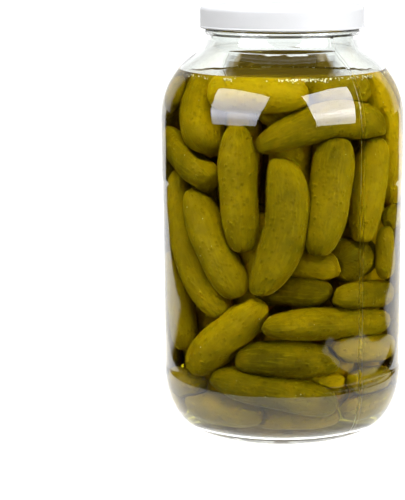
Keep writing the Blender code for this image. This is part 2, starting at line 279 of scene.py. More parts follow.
# To the eye it is matt white paper with a glow of its own, full white away from the foot.
paper = add(tree, "ShaderNodeBsdfDiffuse", {"Color": linear("#b4b4b4")})
shine = add(tree, "ShaderNodeMapRange", {0: away.outputs["Value"], 1: 0.08, 2: 0.5, 3: 0.72,
                                         4: 1.1})
lift = add(tree, "ShaderNodeEmission", {"Strength": shine.outputs[0]})
plain = add(tree, "ShaderNodeAddShader", {0: paper.outputs[0], 1: lift.outputs[0]})
chosen = add(tree, "ShaderNodeMixShader", {0: path.outputs["Is Camera Ray"],
                                           1: painted_glow.outputs[0], 2: plain.outputs[0]})
add(tree, "ShaderNodeOutputMaterial", {"Surface": chosen.outputs[0]})
floor_mesh.materials.append(white_sweep)

# The walls: bright behind the jar but for a dim strip in the middle, less so towards the sides, and
# dark in front and overhead. To the eye they are white, like the sweep.
WALL_GLOW = 1.5
STRIP_GLOW = 0.16

world = bpy.data.worlds.new("studio")
world.use_nodes = True
scene.world = world
tree = world.node_tree
tree.nodes.clear()
path = add(tree, "ShaderNodeLightPath")
place = add(tree, "ShaderNodeTexCoord")
apart = add(tree, "ShaderNodeSeparateXYZ", {0: place.outputs["Generated"]})
aside = add(tree, "ShaderNodeMath", {0: apart.outputs["X"]}, operation="ABSOLUTE")
course = add(tree, "ShaderNodeMath", {0: aside.outputs[0], 1: apart.outputs["Y"]},
             operation="DIVIDE")
walls = add(tree, "ShaderNodeMapRange", {0: course.outputs[0], 1: 0.045, 2: 0.075,
                                         3: STRIP_GLOW, 4: WALL_GLOW},
            interpolation_type="SMOOTHSTEP")
closed = add(tree, "ShaderNodeMapRange", {0: course.outputs[0], 1: 0.9, 2: 1.3, 3: 1.0, 4: 0.0},
             interpolation_type="SMOOTHSTEP")
sides = add(tree, "ShaderNodeMapRange", {0: course.outputs[0], 1: 0.18, 2: 0.4, 3: 1.0, 4: 0.6})
lit_walls = add(tree, "ShaderNodeMath", {0: walls.outputs[0], 1: sides.outputs[0]},
                operation="MULTIPLY")
lower = add(tree, "ShaderNodeMapRange", {0: apart.outputs["Z"], 1: 0.3, 2: 0.8, 3: 1.0, 4: 0.0})
extent = add(tree, "ShaderNodeMath", {0: closed.outputs[0], 1: lower.outputs[0]},
             operation="MULTIPLY")
at_back = add(tree, "ShaderNodeMath", {0: apart.outputs["Y"], 1: 0.0},
              operation="GREATER_THAN")
bright_part = add(tree, "ShaderNodeMath", {0: extent.outputs[0], 1: at_back.outputs[0]},
                  operation="MULTIPLY")
behind = add(tree, "ShaderNodeMix", {0: bright_part.outputs[0], 2: DARK_GLOW,
                                     3: lit_walls.outputs[0]})
diffused = add(tree, "ShaderNodeMath", {0: path.outputs["Diffuse Depth"], 1: 0.5},
               operation="GREATER_THAN")
above = add(tree, "ShaderNodeMapRange", {0: apart.outputs["Z"], 1: -0.2, 2: 1.0, 3: 0.20,
                                         4: 0.47})
seen = add(tree, "ShaderNodeMix", {0: diffused.outputs[0], 2: behind.outputs[0],
                                   3: above.outputs[0]})
strength = add(tree, "ShaderNodeMix", {0: path.outputs["Is Camera Ray"], 2: seen.outputs[0],
                                       3: 1.0})
bright = add(tree, "ShaderNodeMapRange", {0: strength.outputs[0], 1: STRIP_GLOW, 2: 0.6})
tone = add(tree, "ShaderNodeMix", {0: bright.outputs[0], 6: linear(DIM_TONE),
                                   7: linear("#ffffff")}, data_type="RGBA")
undiffused = add(tree, "ShaderNodeMath", {0: path.outputs["Diffuse Depth"], 1: 0.5},
                 operation="LESS_THAN")
tinted = add(tree, "ShaderNodeMix", {0: undiffused.outputs[0], 6: linear("#ffffff"),
                                     7: tone.outputs[2]}, data_type="RGBA")
sky = add(tree, "ShaderNodeBackground", {"Color": tinted.outputs[2],
                                         "Strength": strength.outputs[0]})
add(tree, "ShaderNodeOutputWorld", {"Surface": sky.outputs[0]})

# ------------------------------------------------------------------------------------------------
# The glass jar. Clear soda-lime glass, blown in a two-part mould: a pushed-up foot, straight body
# with a shallow label panel, round shoulder, a bead under the finish and six lug threads. The two
# mould halves leave a fine upright seam on each side.
# ------------------------------------------------------------------------------------------------
BODY_RADIUS = 76.0
FOOT_RADIUS = 57.1
FOOT_RING_WIDTH = 5.0
PUSH_UP = 3.2
HEEL_HEIGHT = 36.5
PANEL_DEPTH = 0.45
PANEL_BOTTOM = 39.0
PANEL_TOP = 156.0
SHOULDER_HEIGHT = 195.2
SHOULDER_ROUND = 48.9
SHOULDER_TURN = math.radians(53.3)
SHOULDER_SLOPE = 7.6
NECK_FILLET = 8.2
BEAD_HEIGHT = 248.9
BEAD_HALF = 1.9
BEAD_PROUD = 1.2
RIM_HEIGHT = 263.9
RIM_ROUND = 1.1
WALL = 3.0
BASE_THICKNESS = 5.6
BASE_ROUND = 0.6
INNER_FOOT_INSET = 3.0
FOOT_BEVEL_WIDTH = 1.2
FOOT_BEVEL_HEIGHT = 0.5
THREADS = 6
THREAD_SWEEP = math.radians(42.0)
THREAD_TOP = 259.5
THREAD_DROP = 6.0
THREAD_HALF = 1.5
THREAD_PROUD = 1.3
THREAD_TAPER = 8.0
SEAM_AZIMUTH = 39.0
SEAM_HALF = 1.3
SEAM_FLANK = 0.2
SEAM_PROUD = 0.25
SEAM_BOTTOM = 1.0
SEAM_TOP = 250.0
SEAM_FADE = 190.0
SEAM_FADE_LENGTH = 25.0
BRINE_LEVEL = 224.0
GLASS_STEPS = 144


def arc(center_r, center_z, radius_r, radius_z, start, end, steps):
    """Points of an ellipse's arc from one angle to another, both ends included."""
    turns = [start + (end - start) * step / steps for step in range(steps + 1)]
    return [(center_r + radius_r * math.cos(turn), center_z + radius_z * math.sin(turn))
            for turn in turns]


def run(start, end, steps):
    """Points between two places of an outline, with neither place itself."""
    return [(start[0] + (end[0] - start[0]) * step / steps,
             start[1] + (end[1] - start[1]) * step / steps) for step in range(1, steps)]


def shoulder(inset):
    """The shoulder from the body up to the neck, moved inwards by inset."""
    round_r = BODY_RADIUS - SHOULDER_ROUND
    radius = SHOULDER_ROUND - inset
    points = arc(round_r, SHOULDER_HEIGHT, radius, radius, 0.0, SHOULDER_TURN, 20)
    reach = SHOULDER_ROUND + NECK_FILLET
    fillet_r = (round_r + reach * math.cos(SHOULDER_TURN)
                - math.sin(SHOULDER_TURN) * SHOULDER_SLOPE)
    fillet_z = (SHOULDER_HEIGHT + reach * math.sin(SHOULDER_TURN)
                + math.cos(SHOULDER_TURN) * SHOULDER_SLOPE)
    fillet = arc(fillet_r, fillet_z, NECK_FILLET + inset, NECK_FILLET + inset,
                 math.pi + SHOULDER_TURN, math.pi, 10)
    return points + run(points[-1], fillet[0], 3) + fillet


def outer_outline():
    """The outside of the glass from the foot ring up to the rim."""
    points = [(FOOT_RADIUS - FOOT_RING_WIDTH, 0.0)]
    points += arc(FOOT_RADIUS, HEEL_HEIGHT, BODY_RADIUS - FOOT_RADIUS, HEEL_HEIGHT,
                  -math.pi / 2, 0.0, 20)
    panel = BODY_RADIUS - PANEL_DEPTH
    step_in = [(panel + 0.1, PANEL_BOTTOM - 0.6), (panel, PANEL_BOTTOM + 0.6),
               (panel, PANEL_BOTTOM + 2.0)]
    step_out = [(panel, PANEL_TOP - 2.0), (panel, PANEL_TOP - 0.4),
                (panel + 0.2, PANEL_TOP + 1.4), (BODY_RADIUS - 0.03, PANEL_TOP + 2.8),
                (BODY_RADIUS, PANEL_TOP + 4.0)]
    points += step_in + run((panel, PANEL_BOTTOM), (panel, PANEL_TOP), 10) + step_out
    points += run(step_out[-1], (BODY_RADIUS, SHOULDER_HEIGHT), 4)
    points += shoulder(0.0)
    neck = points[-1][0]
    bead = arc(neck, BEAD_HEIGHT, BEAD_PROUD, BEAD_HALF, -math.pi / 2, math.pi / 2, 10)
    rim = arc(neck - RIM_ROUND, RIM_HEIGHT - RIM_ROUND, RIM_ROUND, RIM_ROUND, 0.0, math.pi / 2, 5)
    return points + bead + run(bead[-1], rim[0], 22) + rim


def inner_outline():
    """The inside of the glass from the middle of its base up to the rim."""
    wall_radius = BODY_RADIUS - WALL
    heel_radius = FOOT_RADIUS - INNER_FOOT_INSET
    heel = arc(heel_radius, HEEL_HEIGHT, wall_radius - heel_radius,
               HEEL_HEIGHT - BASE_THICKNESS - BASE_ROUND, -math.pi / 2, 0.0, 16)
    middle = (0.0, BASE_THICKNESS + PUSH_UP)
    points = [middle] + run(middle, heel[0], 6) + heel
    points += run(heel[-1], (wall_radius, SHOULDER_HEIGHT), 12) + shoulder(WALL)
    neck = points[-1][0]
    rim = arc(neck + RIM_ROUND, RIM_HEIGHT - RIM_ROUND, RIM_ROUND, RIM_ROUND, math.pi,
              math.pi / 2, 5)
    return points + run(points[-1], rim[0], 6) + rim


def spun(outline, steps, azimuth=90.0):
    """A bmesh turned from an outline of radius and height, with its first column at an azimuth."""
    form = bmesh.new()
    angle = math.radians(azimuth)
    corners = [form.verts.new((radius * math.sin(angle) * MM, -radius * math.cos(angle) * MM,
                               height * MM)) for radius, height in outline]
    edges = [form.edges.new(pair) for pair in zip(corners, corners[1:])]
    if outline[0][0] > 0.0:
        edges.append(form.edges.new((corners[-1], corners[0])))
    bmesh.ops.spin(form, geom=corners + edges, cent=(0, 0, 0), axis=(0, 0, 1), dvec=(0, 0, 0),
                   angle=math.tau, steps=steps, use_merge=True, use_normal_flip=False,
                   use_duplicate=False)
    bmesh.ops.remove_doubles(form, verts=form.verts, dist=1e-6)
    bmesh.ops.recalc_face_normals(form, faces=form.faces)
    return form


def finished(name, form, finishes, sharp=40.0):
    """The object of a bmesh, smooth up to an angle in degrees, with its materials, on its body."""
    mesh = bpy.data.meshes.new(name)
    form.to_mesh(mesh)
    form.free()
    for finish in finishes:
        mesh.materials.append(finish)
    mesh.shade_smooth()
    mesh.set_sharp_from_angle(angle=math.radians(sharp))
    piece = bpy.data.objects.new(name, mesh)
    scene.collection.objects.link(piece)
    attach(piece, "root")
    return piece


foot_bevel = (FOOT_RADIUS - FOOT_RING_WIDTH - FOOT_BEVEL_WIDTH, FOOT_BEVEL_HEIGHT)
glass_outline = inner_outline() + list(reversed(outer_outline()))[1:]
glass_outline += [foot_bevel] + run(foot_bevel, (0.0, PUSH_UP), 6) + [(0.0, PUSH_UP)]
jar_form = spun(glass_outline, GLASS_STEPS, SEAM_AZIMUTH)

# The seams: one upright column of edges on each side is split in three, and its middle raised.
seam_angle = math.radians(SEAM_AZIMUTH)
seam_side = Vector((math.cos(seam_angle), math.sin(seam_angle), 0.0))
INNER = inner_outline()


def inner_radius(height):
    """The inside radius of the glass at a height."""
    for (low_r, low_z), (high_r, high_z) in zip(INNER, INNER[1:]):
        if low_z <= height <= high_z and high_z > low_z:
            return low_r + (high_r - low_r) * (height - low_z) / (high_z - low_z)
    return 0.0


def seam_columns(form, offset):
    """The upright edges on the outside of the jar at a distance from the middle of a seam."""
    columns = []
    tolerance = 2e-5
    for edge in form.edges:
        ends = [vert.co for vert in edge.verts]
        if any(abs(abs(end.dot(seam_side)) - offset * MM) > tolerance for end in ends):
            continue
        if all(SEAM_BOTTOM < end.z / MM < SEAM_TOP and math.hypot(end.x, end.y) / MM
               > inner_radius(end.z / MM) + 0.6 * WALL for end in ends):
            columns.append(edge)
    return columns


for offset, width in ((0.0, SEAM_HALF), (SEAM_HALF, SEAM_FLANK)):
    bmesh.ops.bevel(jar_form, geom=seam_columns(jar_form, offset), offset=width * MM,
                    offset_type="OFFSET", affect="EDGES", segments=1, profile=0.5, material=-1)
raised = {vert for edge in seam_columns(jar_form, SEAM_HALF - SEAM_FLANK) for vert in edge.verts}
# They are a little uneven, and fade out on the shoulder.
for vert in raised:
    uneven = 0.75 + 0.7 * noise.noise(vert.co * 160.0)
    fade = 1.0 - 0.75 * min(1.0, max(0.0, (vert.co.z / MM - SEAM_FADE) / SEAM_FADE_LENGTH))
    vert.co += vert.co.xy.normalized().to_3d() * SEAM_PROUD * uneven * fade * MM

# The lug threads: short sloping ridges on the finish. The neck's radius is that of the outline's
# point where the rim's arc starts.
neck_radius = outer_outline()[-6][0]
for vert in jar_form.verts:
    radius = math.hypot(vert.co.x, vert.co.y) / MM
    height = vert.co.z / MM
    if height < BEAD_HEIGHT + BEAD_HALF or radius < neck_radius - 0.05:
        continue
    turn = math.atan2(vert.co.x, -vert.co.y) % (math.tau / THREADS)
    share = turn / THREAD_SWEEP
    if share < 1.0:
        off = (height - THREAD_TOP + THREAD_DROP * share) / THREAD_HALF
        fade = min(1.0, share * THREAD_TAPER, (1.0 - share) * THREAD_TAPER)
        if abs(off) < 1.0:
            rise = THREAD_PROUD * math.sqrt(1.0 - off * off) * fade
            vert.co += vert.co.xy.normalized().to_3d() * rise * MM

# Soda-lime glass, blown: colourless with a trace of green, fire-polished, and a little wavy. Where
# brine wets the inside, the two are so alike that they reflect nothing there straight on. The
# seam's flanks are less polished.
WAVE_LENGTH = 18.18


def soda_lime(name, straight_reflection, roughness=0.0):
    """A clear glass, with how much of its straight-on reflection it keeps."""
    glass = bpy.data.materials.new(name)
    glass.use_nodes = True
    tree = glass.node_tree
    shader = tree.nodes["Principled BSDF"]
    shader.inputs["Base Color"].default_value = linear("#fbfefc")
    shader.inputs["Transmission Weight"].default_value = 1.0
    shader.inputs["IOR"].default_value = 1.5
    shader.inputs["Roughness"].default_value = roughness
    shader.inputs["Specular Tint"].default_value = (straight_reflection,) * 3 + (1.0,)
    place = add(tree, "ShaderNodeTexCoord")
    waves = add(tree, "ShaderNodeTexNoise", {"Vector": place.outputs["Object"],
                                             "Scale": 1.0 / (WAVE_LENGTH * MM), "Detail": 1.5})
    ripple = add(tree, "ShaderNodeBump", {"Height": waves.outputs[0], "Strength": 0.25,
                                          "Distance": 0.0006})
    tree.links.new(ripple.outputs[0], shader.inputs["Normal"])
    return glass


for face in jar_form.faces:
    middle = face.calc_center_median() / MM
    inside = math.hypot(middle.x, middle.y) < inner_radius(middle.z) + 0.3 * WALL
    face.material_index = int(inside and BASE_THICKNESS - 1.0 < middle.z < BRINE_LEVEL)
SEAM_GLASS = 2
for face in {face for vert in raised for face in vert.link_faces}:
    if not all(vert in raised for vert in face.verts):
        face.material_index = SEAM_GLASS
glass = finished("jar", jar_form, [soda_lime("blown_clear_glass", 1.0),
                                   soda_lime("blown_clear_glass_wet", 0.0),
                                   soda_lime("blown_clear_glass_seam", 1.0, 0.3)], 50.0)
glass.visible_shadow = False
flanks = {key for face in glass.data.polygons if face.material_index == SEAM_GLASS
          for key in face.edge_keys}
for edge in glass.data.edges:
    if edge.key in flanks:
        edge.use_edge_sharp = True
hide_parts("glass_jar")

# ------------------------------------------------------------------------------------------------
# The lid. A twist-off lid pressed from white-lacquered tinplate: a flat panel inside a raised
# ring, a rounded shoulder, a straight skirt, and a rolled lower edge with six lugs turned in.
# ------------------------------------------------------------------------------------------------
LID_RADIUS = 51.0
LID_BOTTOM = 251.1
LID_TOP = 265.5
LID_SHOULDER = 3.4
LID_SHEET = 0.5
LID_PANEL_RADIUS = 41.6
LID_RAMP = 3.0
LID_PANEL_DROP = 0.8
LID_CURL = 0.9
LUG_REACH = 1.7
LUG_SPREAD = 7.0
LUG_HEIGHT = 2.6
LID_STEPS = 144

side = LID_RADIUS - LID_SHOULDER
panel = LID_TOP - LID_PANEL_DROP
ramp = [(LID_PANEL_RADIUS + LID_RAMP * share,
         panel + LID_PANEL_DROP * (3 - 2 * share) * share ** 2)
        for share in [step / 6 for step in range(7)]]
top = arc(side, LID_TOP - LID_SHOULDER, LID_SHOULDER, LID_SHOULDER, math.pi / 2, 0.0, 10)
inner_round = LID_SHOULDER - LID_SHEET
under = arc(side, LID_TOP - LID_SHOULDER, inner_round, inner_round, 0.0, math.pi / 2, 8)
curl = arc(LID_RADIUS - LID_CURL + 0.2, LID_BOTTOM + LID_CURL, LID_CURL, LID_CURL,
           0.25 * math.pi, -1.25 * math.pi, 14)
lid_outline = [(0.0, panel)] + run((0.0, panel), ramp[0], 5) + ramp + top
lid_outline += run(top[-1], curl[0], 5) + curl + run(curl[-1], under[0], 5) + under
lid_outline += [(radius, height - LID_SHEET) for radius, height in reversed(ramp)]
lid_outline += run((LID_PANEL_RADIUS, panel - LID_SHEET), (0.0, panel - LID_SHEET), 5)
lid_outline += [(0.0, panel - LID_SHEET)]
lid_form = spun(lid_outline, LID_STEPS)

# The lugs: at six places the curl is pushed in under the threads.
for vert in lid_form.verts:
    azimuth = math.degrees(math.atan2(vert.co.x, -vert.co.y)) % (360 / THREADS) - 180 / THREADS
    height = vert.co.z / MM
    radius = math.hypot(vert.co.x, vert.co.y) / MM
    low = max(0.0, 1.0 - (height - LID_BOTTOM) / (LUG_HEIGHT * LID_CURL))
    lug = math.exp(-(azimuth / LUG_SPREAD) ** 2 * 2.0) * low
    inward = max(0.0, LID_RADIUS + 0.3 - radius) / (2.0 * LID_CURL)
    vert.co -= vert.co.xy.normalized().to_3d() * LUG_REACH * lug * min(inward, 1.0) * MM

# White lacquer baked on tinplate: smooth, with a low soft gloss, the faintest clouding, and an
# orange peel of 1 mm that hardly shows.
CLOUD_SIZE = 16.67
PEEL_SIZE = 1.111
white_lacquer = bpy.data.materials.new("white_baked_lacquer")
white_lacquer.use_nodes = True
tree = white_lacquer.node_tree
shader = tree.nodes["Principled BSDF"]
place = add(tree, "ShaderNodeTexCoord")
cloud = add(tree, "ShaderNodeTexNoise", {"Vector": place.outputs["Object"],
                                         "Scale": 1.0 / (CLOUD_SIZE * MM), "Detail": 3.0})
tone = add(tree, "ShaderNodeMix", {0: cloud.outputs[0], 6: linear("#aeb0b3"),
                                   7: linear("#b7b8bb")}, data_type="RGBA")
tree.links.new(tone.outputs[2], shader.inputs["Base Color"])
shader.inputs["Roughness"].default_value = 0.5
shader.inputs["Specular IOR Level"].default_value = 0.25
peel = add(tree, "ShaderNodeTexNoise", {"Vector": place.outputs["Object"],
                                        "Scale": 1.0 / (PEEL_SIZE * MM), "Detail": 2.0})
dimple = add(tree, "ShaderNodeBump", {"Height": peel.outputs[0], "Strength": 0.12,
                                      "Distance": 0.0001})
tree.links.new(dimple.outputs[0], shader.inputs["Normal"])

lid = finished("twist_off_lid", lid_form, [white_lacquer], 35.0)
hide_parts("lid")

# ------------------------------------------------------------------------------------------------
# The gherkins. Whole pickled cucumbers, packed by hand: the outer layer leans on the glass, and
# more stand and lie behind it. Each is bowed and lumpy, blunt at its ends and pressed flat where
# it meets its neighbours.
# ------------------------------------------------------------------------------------------------
FLOOR_HEIGHT = 10.0
GLASS_GAP = 0.6
WALL_FOLLOW = 0.6
UPRIGHT = 0.7
END_BLUNTNESS = 0.75
SIDE_FULLNESS = 0.62
TAPER = 0.055
OUTER_MESH = (38, 34)
TOP_MESH = (36, 30)
INNER_MESH = (20, 14)

# Each row holds one end and then the other, as an azimuth, a height and how far the gherkin's
# side lies behind the glass there, and then its thickness, its bow across the glass (up, or to the
# right when upright) and how ripe it is, from green to yellow.
FRONT = [
    (-46, 214, 0, 14, 213, 0, 22, 0, 0.7),
    (-18, 203, 20, 30, 206, 30, 20, 0, 0.9),
    (16, 213, 12, 60, 214, 4, 20, 0, 0.3),
    (69, 223, 0, 83, 142, 0, 25, 2, 1.0),
    (-75, 222, 14, -44, 179, 0, 27, 0, 0.4),
    (-13, 185, 0, 66, 193, 0, 22, 9, 0.2),
    (-88, 186, 0, -38, 162, 0, 22, 0, 0.3),
    (-25, 197, 1, -22, 121, 1, 23, -1, 0.4),
    (0, 178, 0, -13, 95, 0, 26, 9, 0.28),
    (31, 190, 1, 19, 119, 0, 26, 1, 0.28),
    (60, 187, 2, 48, 124, 1, 24, 0, 0.5),
    (-72, 166, 2, -35, 79, 2, 25, -13, 0.5),
    (-56, 157, 0, -24, 93, 0, 25, -2, 0.4),
    (33, 114, 3, 78, 110, 20, 27, 0, 0.12),
    (67, 98, 0, 65, 131, 0, 17, 0, 0.45),
    (32, 110, 4, -40, 116, 34, 20, 0, 0.6),
    (28, 95, 4, -40, 99, 26, 22, 0, 0.0),
    (29, 93, 0, 86, 84, 8, 18, 1, 0.2),
    (-82, 112, 1, -66, 52, 1, 24, 0, 0.5),
    (-60, 41, 1, -11, 90, 1, 24, 1, 0.5),
    (-10, 76, 0, 74, 69, 0, 20, 3, 0.28),
    (-27, 54, 2, 34, 51, 3, 23, 2, 0.08),
    (29, 60, 3, 84, 50, 3, 18, 0, 0.5),
    (37, 37, 6, -20, 44, 34, 15, 0, 0.8),
    (39, 38, 3, 82, 31, 8, 17, 0, 0.3),
    (-84, 29, 3, -52, 32, 7, 18, 0, 0.4),
    (-42, 40, 0, 31, 24, 0, 22, 3, 0.12),
    (36, 20, 3, 88, 20, 4, 16, 0, 0.25),
    (-66, 20, 2, -12, 19, 6, 18, 0, 0.35),
    (36, 17, 6, -20, 17, 14, 14, 0, 0.35),
]
# The back repeats the front, half a turn on, and is yellow where the front is green.
RIPENESS_TURNED = 0.8
BACK = [(180 + row[0], row[1], row[2], 180 + row[3], *row[4:8], 1.0 - RIPENESS_TURNED * row[8])
        for row in FRONT]
# These close the two seams between front and back.
SEAMS = [
    (66, 136, 1, 92, 134, 1, 16, 0, 0.35),
    (84, 214, 1, 104, 196, 3, 19, 0, 0.6),
    (92, 34, 1, 92, 82, 1, 20, 0, 0.5),
    (92, 16, 2, 112, 16, 3, 13, 0, 0.8),
    (-112, 135, 1, -87, 131, 1, 17, 0, 0.5),
    (-92, 198, 3, -75, 213, 1, 18, 0, 0.3),
    (-89, 33, 1, -87, 80, 1, 20, 0, 0.45),
    (-89, 16, 2, -70, 16, 3, 13, 0, 0.8),
]


def wall_point(azimuth, height, depth):
    """A point inside the jar, given its depth behind the inner face of the glass."""
    radius = max(inner_radius(height) - depth, 0.0)
    angle = math.radians(azimuth)
    return Vector((radius * math.sin(angle), -radius * math.cos(angle), height))


def beside_wall(row):
    """The two tips, the middle and the thickness of a gherkin that lies along the glass."""
    azimuth_a, height_a, behind_a, azimuth_b, height_b, behind_b, thickness, bow = row[:8]
    start = wall_point(azimuth_a, height_a, thickness / 2 + behind_a)
    end = wall_point(azimuth_b, height_b, thickness / 2 + behind_b)
    straight = (start + end) / 2
    azimuth = (azimuth_a + azimuth_b) / 2
    along_wall = wall_point(azimuth, straight.z, (thickness + behind_a + behind_b) / 2)
    across = Vector((0.0, 0.0, 1.0))
    if abs(height_a - height_b) > UPRIGHT * (end - start).length:
        angle = math.radians(azimuth)
        across = Vector((math.cos(angle), math.sin(angle), 0.0))
    return start, end, straight.lerp(along_wall, WALL_FOLLOW) + across * bow, thickness


draw = random.Random(11)
placed = [(*beside_wall(row), *OUTER_MESH, row[8]) for row in FRONT + BACK + SEAMS]

# Four more lie side by side just under the surface of the brine.
TOP_COUNT = 4
TOP_SPACING = 22
TOP_REACH = 52
TOP_HEIGHT = 206.0
TOP_THICKNESS = 23
for number in range(TOP_COUNT):
    heading = math.radians(25 + 7 * number)
    offset = TOP_SPACING * (number - (TOP_COUNT - 1) / 2)
    half = math.sqrt(TOP_REACH ** 2 - offset ** 2)
    across = Vector((math.sin(heading), -math.cos(heading), 0.0))
    along = Vector((math.cos(heading), math.sin(heading), 0.0))
    center = across * offset + Vector((0.0, 0.0, TOP_HEIGHT + draw.uniform(-3, 3)))
    placed.append((center - along * half, center + along * half, center + Vector((0, 0, 3)),
                   TOP_THICKNESS, *TOP_MESH, 0.4 + 0.15 * number))

# Three tiers stand behind the outer layer, in a ring round a thick one that fills the middle.
TIERS = 3
TIER_COUNT = 9
TIER_RADIUS = 38
TIER_BOTTOM = 17
TIER_SPACING = 62
MIDDLE_THICKNESS = 38
for tier in range(TIERS):
    foot_height = TIER_BOTTOM + TIER_SPACING * tier
    for number in range(TIER_COUNT):
        angle = math.tau * (number + 0.5 * tier) / TIER_COUNT + draw.uniform(-0.1, 0.1)
        foot = Vector((TIER_RADIUS * math.sin(angle), -TIER_RADIUS * math.cos(angle), foot_height))
        lean = Vector((draw.uniform(-5, 5), draw.uniform(-5, 5), 64))
        placed.append((foot, foot + lean, foot + lean / 2, draw.uniform(24, 28), *INNER_MESH, 1.0))
    foot = Vector((0.0, 0.0, foot_height))
    placed.append((foot, foot + Vector((0, 0, 66)), foot + Vector((2, 1, 33)),
                   MIDDLE_THICKNESS, *INNER_MESH, 1.0))


def ball(sides, rings):
    """The mesh of a sphere with a radius of 1."""
    form = bmesh.new()
    bmesh.ops.create_uvsphere(form, u_segments=sides, v_segments=rings, radius=1.0)
    mesh = bpy.data.meshes.new("ball")
    form.to_mesh(mesh)
    form.free()
    return mesh


# The body of one gherkin is a sphere drawn out along its bowed axis. Slow waves and three blunt
# sides keep it from being a plain capsule, and the blossom end is a little thinner than the stem.
# Its spine is kept too, as points with the girth round each.
SPINE_POINTS = 25
balls = {counts: ball(*counts) for counts in (OUTER_MESH, TOP_MESH, INNER_MESH)}
gherkins = []
for start, end, middle, thickness, sides, rings, ripeness in placed:
    unit = np.array([vert.co[:] for vert in balls[sides, rings].vertices])
    along = end - start
    chord = along.length
    forward = along.normalized()
    helper = Vector((0.0, 0.0, 1.0)) if abs(forward.z) < 0.9 else Vector((1.0, 0.0, 0.0))
    across = forward.cross(helper).normalized()
    up = across.cross(forward)
    bow = middle - (start + end) / 2
    level = np.clip(unit[:, 2], -1.0, 1.0)
    polar = np.arccos(level)
    turn = np.arctan2(unit[:, 1], unit[:, 0])
    share = np.sign(level) * np.abs(np.cos(polar)) ** END_BLUNTNESS
    phases = [draw.uniform(0, math.tau) for _ in range(6)]
    waist = 1.0 + 0.035 * np.sin(share * 3.2 + phases[0]) + 0.02 * np.sin(share * 7.0 + phases[1])
    lobes = (1.0 + 0.025 * np.cos(3 * turn + phases[2]) + 0.014 * np.cos(5 * turn + phases[3])
             + 0.014 * np.sin(2 * turn + share * 3.0 + phases[4]))
    flip = draw.choice((-1.0, 1.0))
    taper = 1.0 - TAPER * share * flip
    girth = np.sin(polar) ** SIDE_FULLNESS * thickness / 2 * waist * lobes * taper
    axis = (np.array((start + end) / 2) + np.outer(share * chord / 2, forward)
            + np.outer(1.0 - share ** 2, bow))
    outwards = np.outer(np.cos(turn), across) + np.outer(np.sin(turn), up)
    points = axis + outwards * girth[:, None]
    spine = np.linspace(-1.0, 1.0, SPINE_POINTS)
    spine_points = (np.array((start + end) / 2) + np.outer(spine * chord / 2, forward)
                    + np.outer(1.0 - spine ** 2, bow))
    spine_polar = np.arccos(np.sign(spine) * np.abs(spine) ** (1 / END_BLUNTNESS))
    spine_girth = (np.sin(spine_polar) ** SIDE_FULLNESS * thickness / 2
                   * (1.0 - TAPER * spine * flip))
    on_skin = np.stack([share * chord / 2 * flip, np.cos(turn) * thickness / 2,
                        np.sin(turn) * thickness / 2], axis=1)
    gherkins.append({"mesh": (sides, rings), "points": points, "spine": spine_points,
                     "girth": spine_girth, "skin": on_skin,
                     "reach": chord / 2 + bow.length + thickness, "middle": np.array(middle),
                     "tint": ripeness})

# Neighbours press each other flat: a point inside a neighbour moves back to halfway.
PRESS_ROUNDS = 2
PRESS_GAP = 0.12
for _ in range(PRESS_ROUNDS):
    moved = []
    for one in gherkins:
        shift = np.zeros_like(one["points"])
        for other in gherkins:
            if other is one or (np.linalg.norm(one["middle"] - other["middle"])
                                > one["reach"] + other["reach"]):
                continue
            lines = one["points"][:, None, :] - other["spine"][None, :, :]
            depth = other["girth"][None, :] + PRESS_GAP - np.linalg.norm(lines, axis=2)
            deepest = depth.argmax(axis=1)
            inside = depth[np.arange(len(depth)), deepest]
            pressed = inside > 0.0
            if not pressed.any():
                continue
            line = lines[np.arange(len(depth)), deepest]
            line /= np.linalg.norm(line, axis=1)[:, None] + 1e-9
            shift[pressed] += (line * (inside * 0.5)[:, None])[pressed]
        moved.append(one["points"] + shift)
    for one, points in zip(gherkins, moved):
        one["points"] = points

# Nothing reaches the glass, the floor of the jar or the brine's surface.
PROFILE_TOP = 262.0
PROFILE_SAMPLES = 1049
heights = np.linspace(0.0, PROFILE_TOP, PROFILE_SAMPLES)
radii = np.array([inner_radius(height) for height in heights])
for one in gherkins:
    points = one["points"]
    points[:, 2] = np.clip(points[:, 2], FLOOR_HEIGHT + GLASS_GAP, BRINE_LEVEL - GLASS_GAP)
    reach = np.hypot(points[:, 0], points[:, 1])
    limit = np.interp(points[:, 2], heights, radii) - GLASS_GAP
    points[:, :2] *= np.minimum(1.0, limit / np.maximum(reach, 1e-6))[:, None]

heap_form = bmesh.new()
for one in gherkins:
    mesh = balls[one["mesh"]].copy()
    mesh.vertices.foreach_set("co", (one["points"] * MM).ravel())
    skin_layer = mesh.attributes.new("skin", "FLOAT_VECTOR", "POINT")
    skin_layer.data.foreach_set("vector", (one["skin"] * MM).ravel())
    tint_layer = mesh.attributes.new("tint", "FLOAT", "POINT")
    tint_layer.data.foreach_set("value", np.full(len(one["points"]), one["tint"]))
    heap_form.from_mesh(mesh)
    bpy.data.meshes.remove(mesh)
bmesh.ops.recalc_face_normals(heap_form, faces=heap_form.faces)

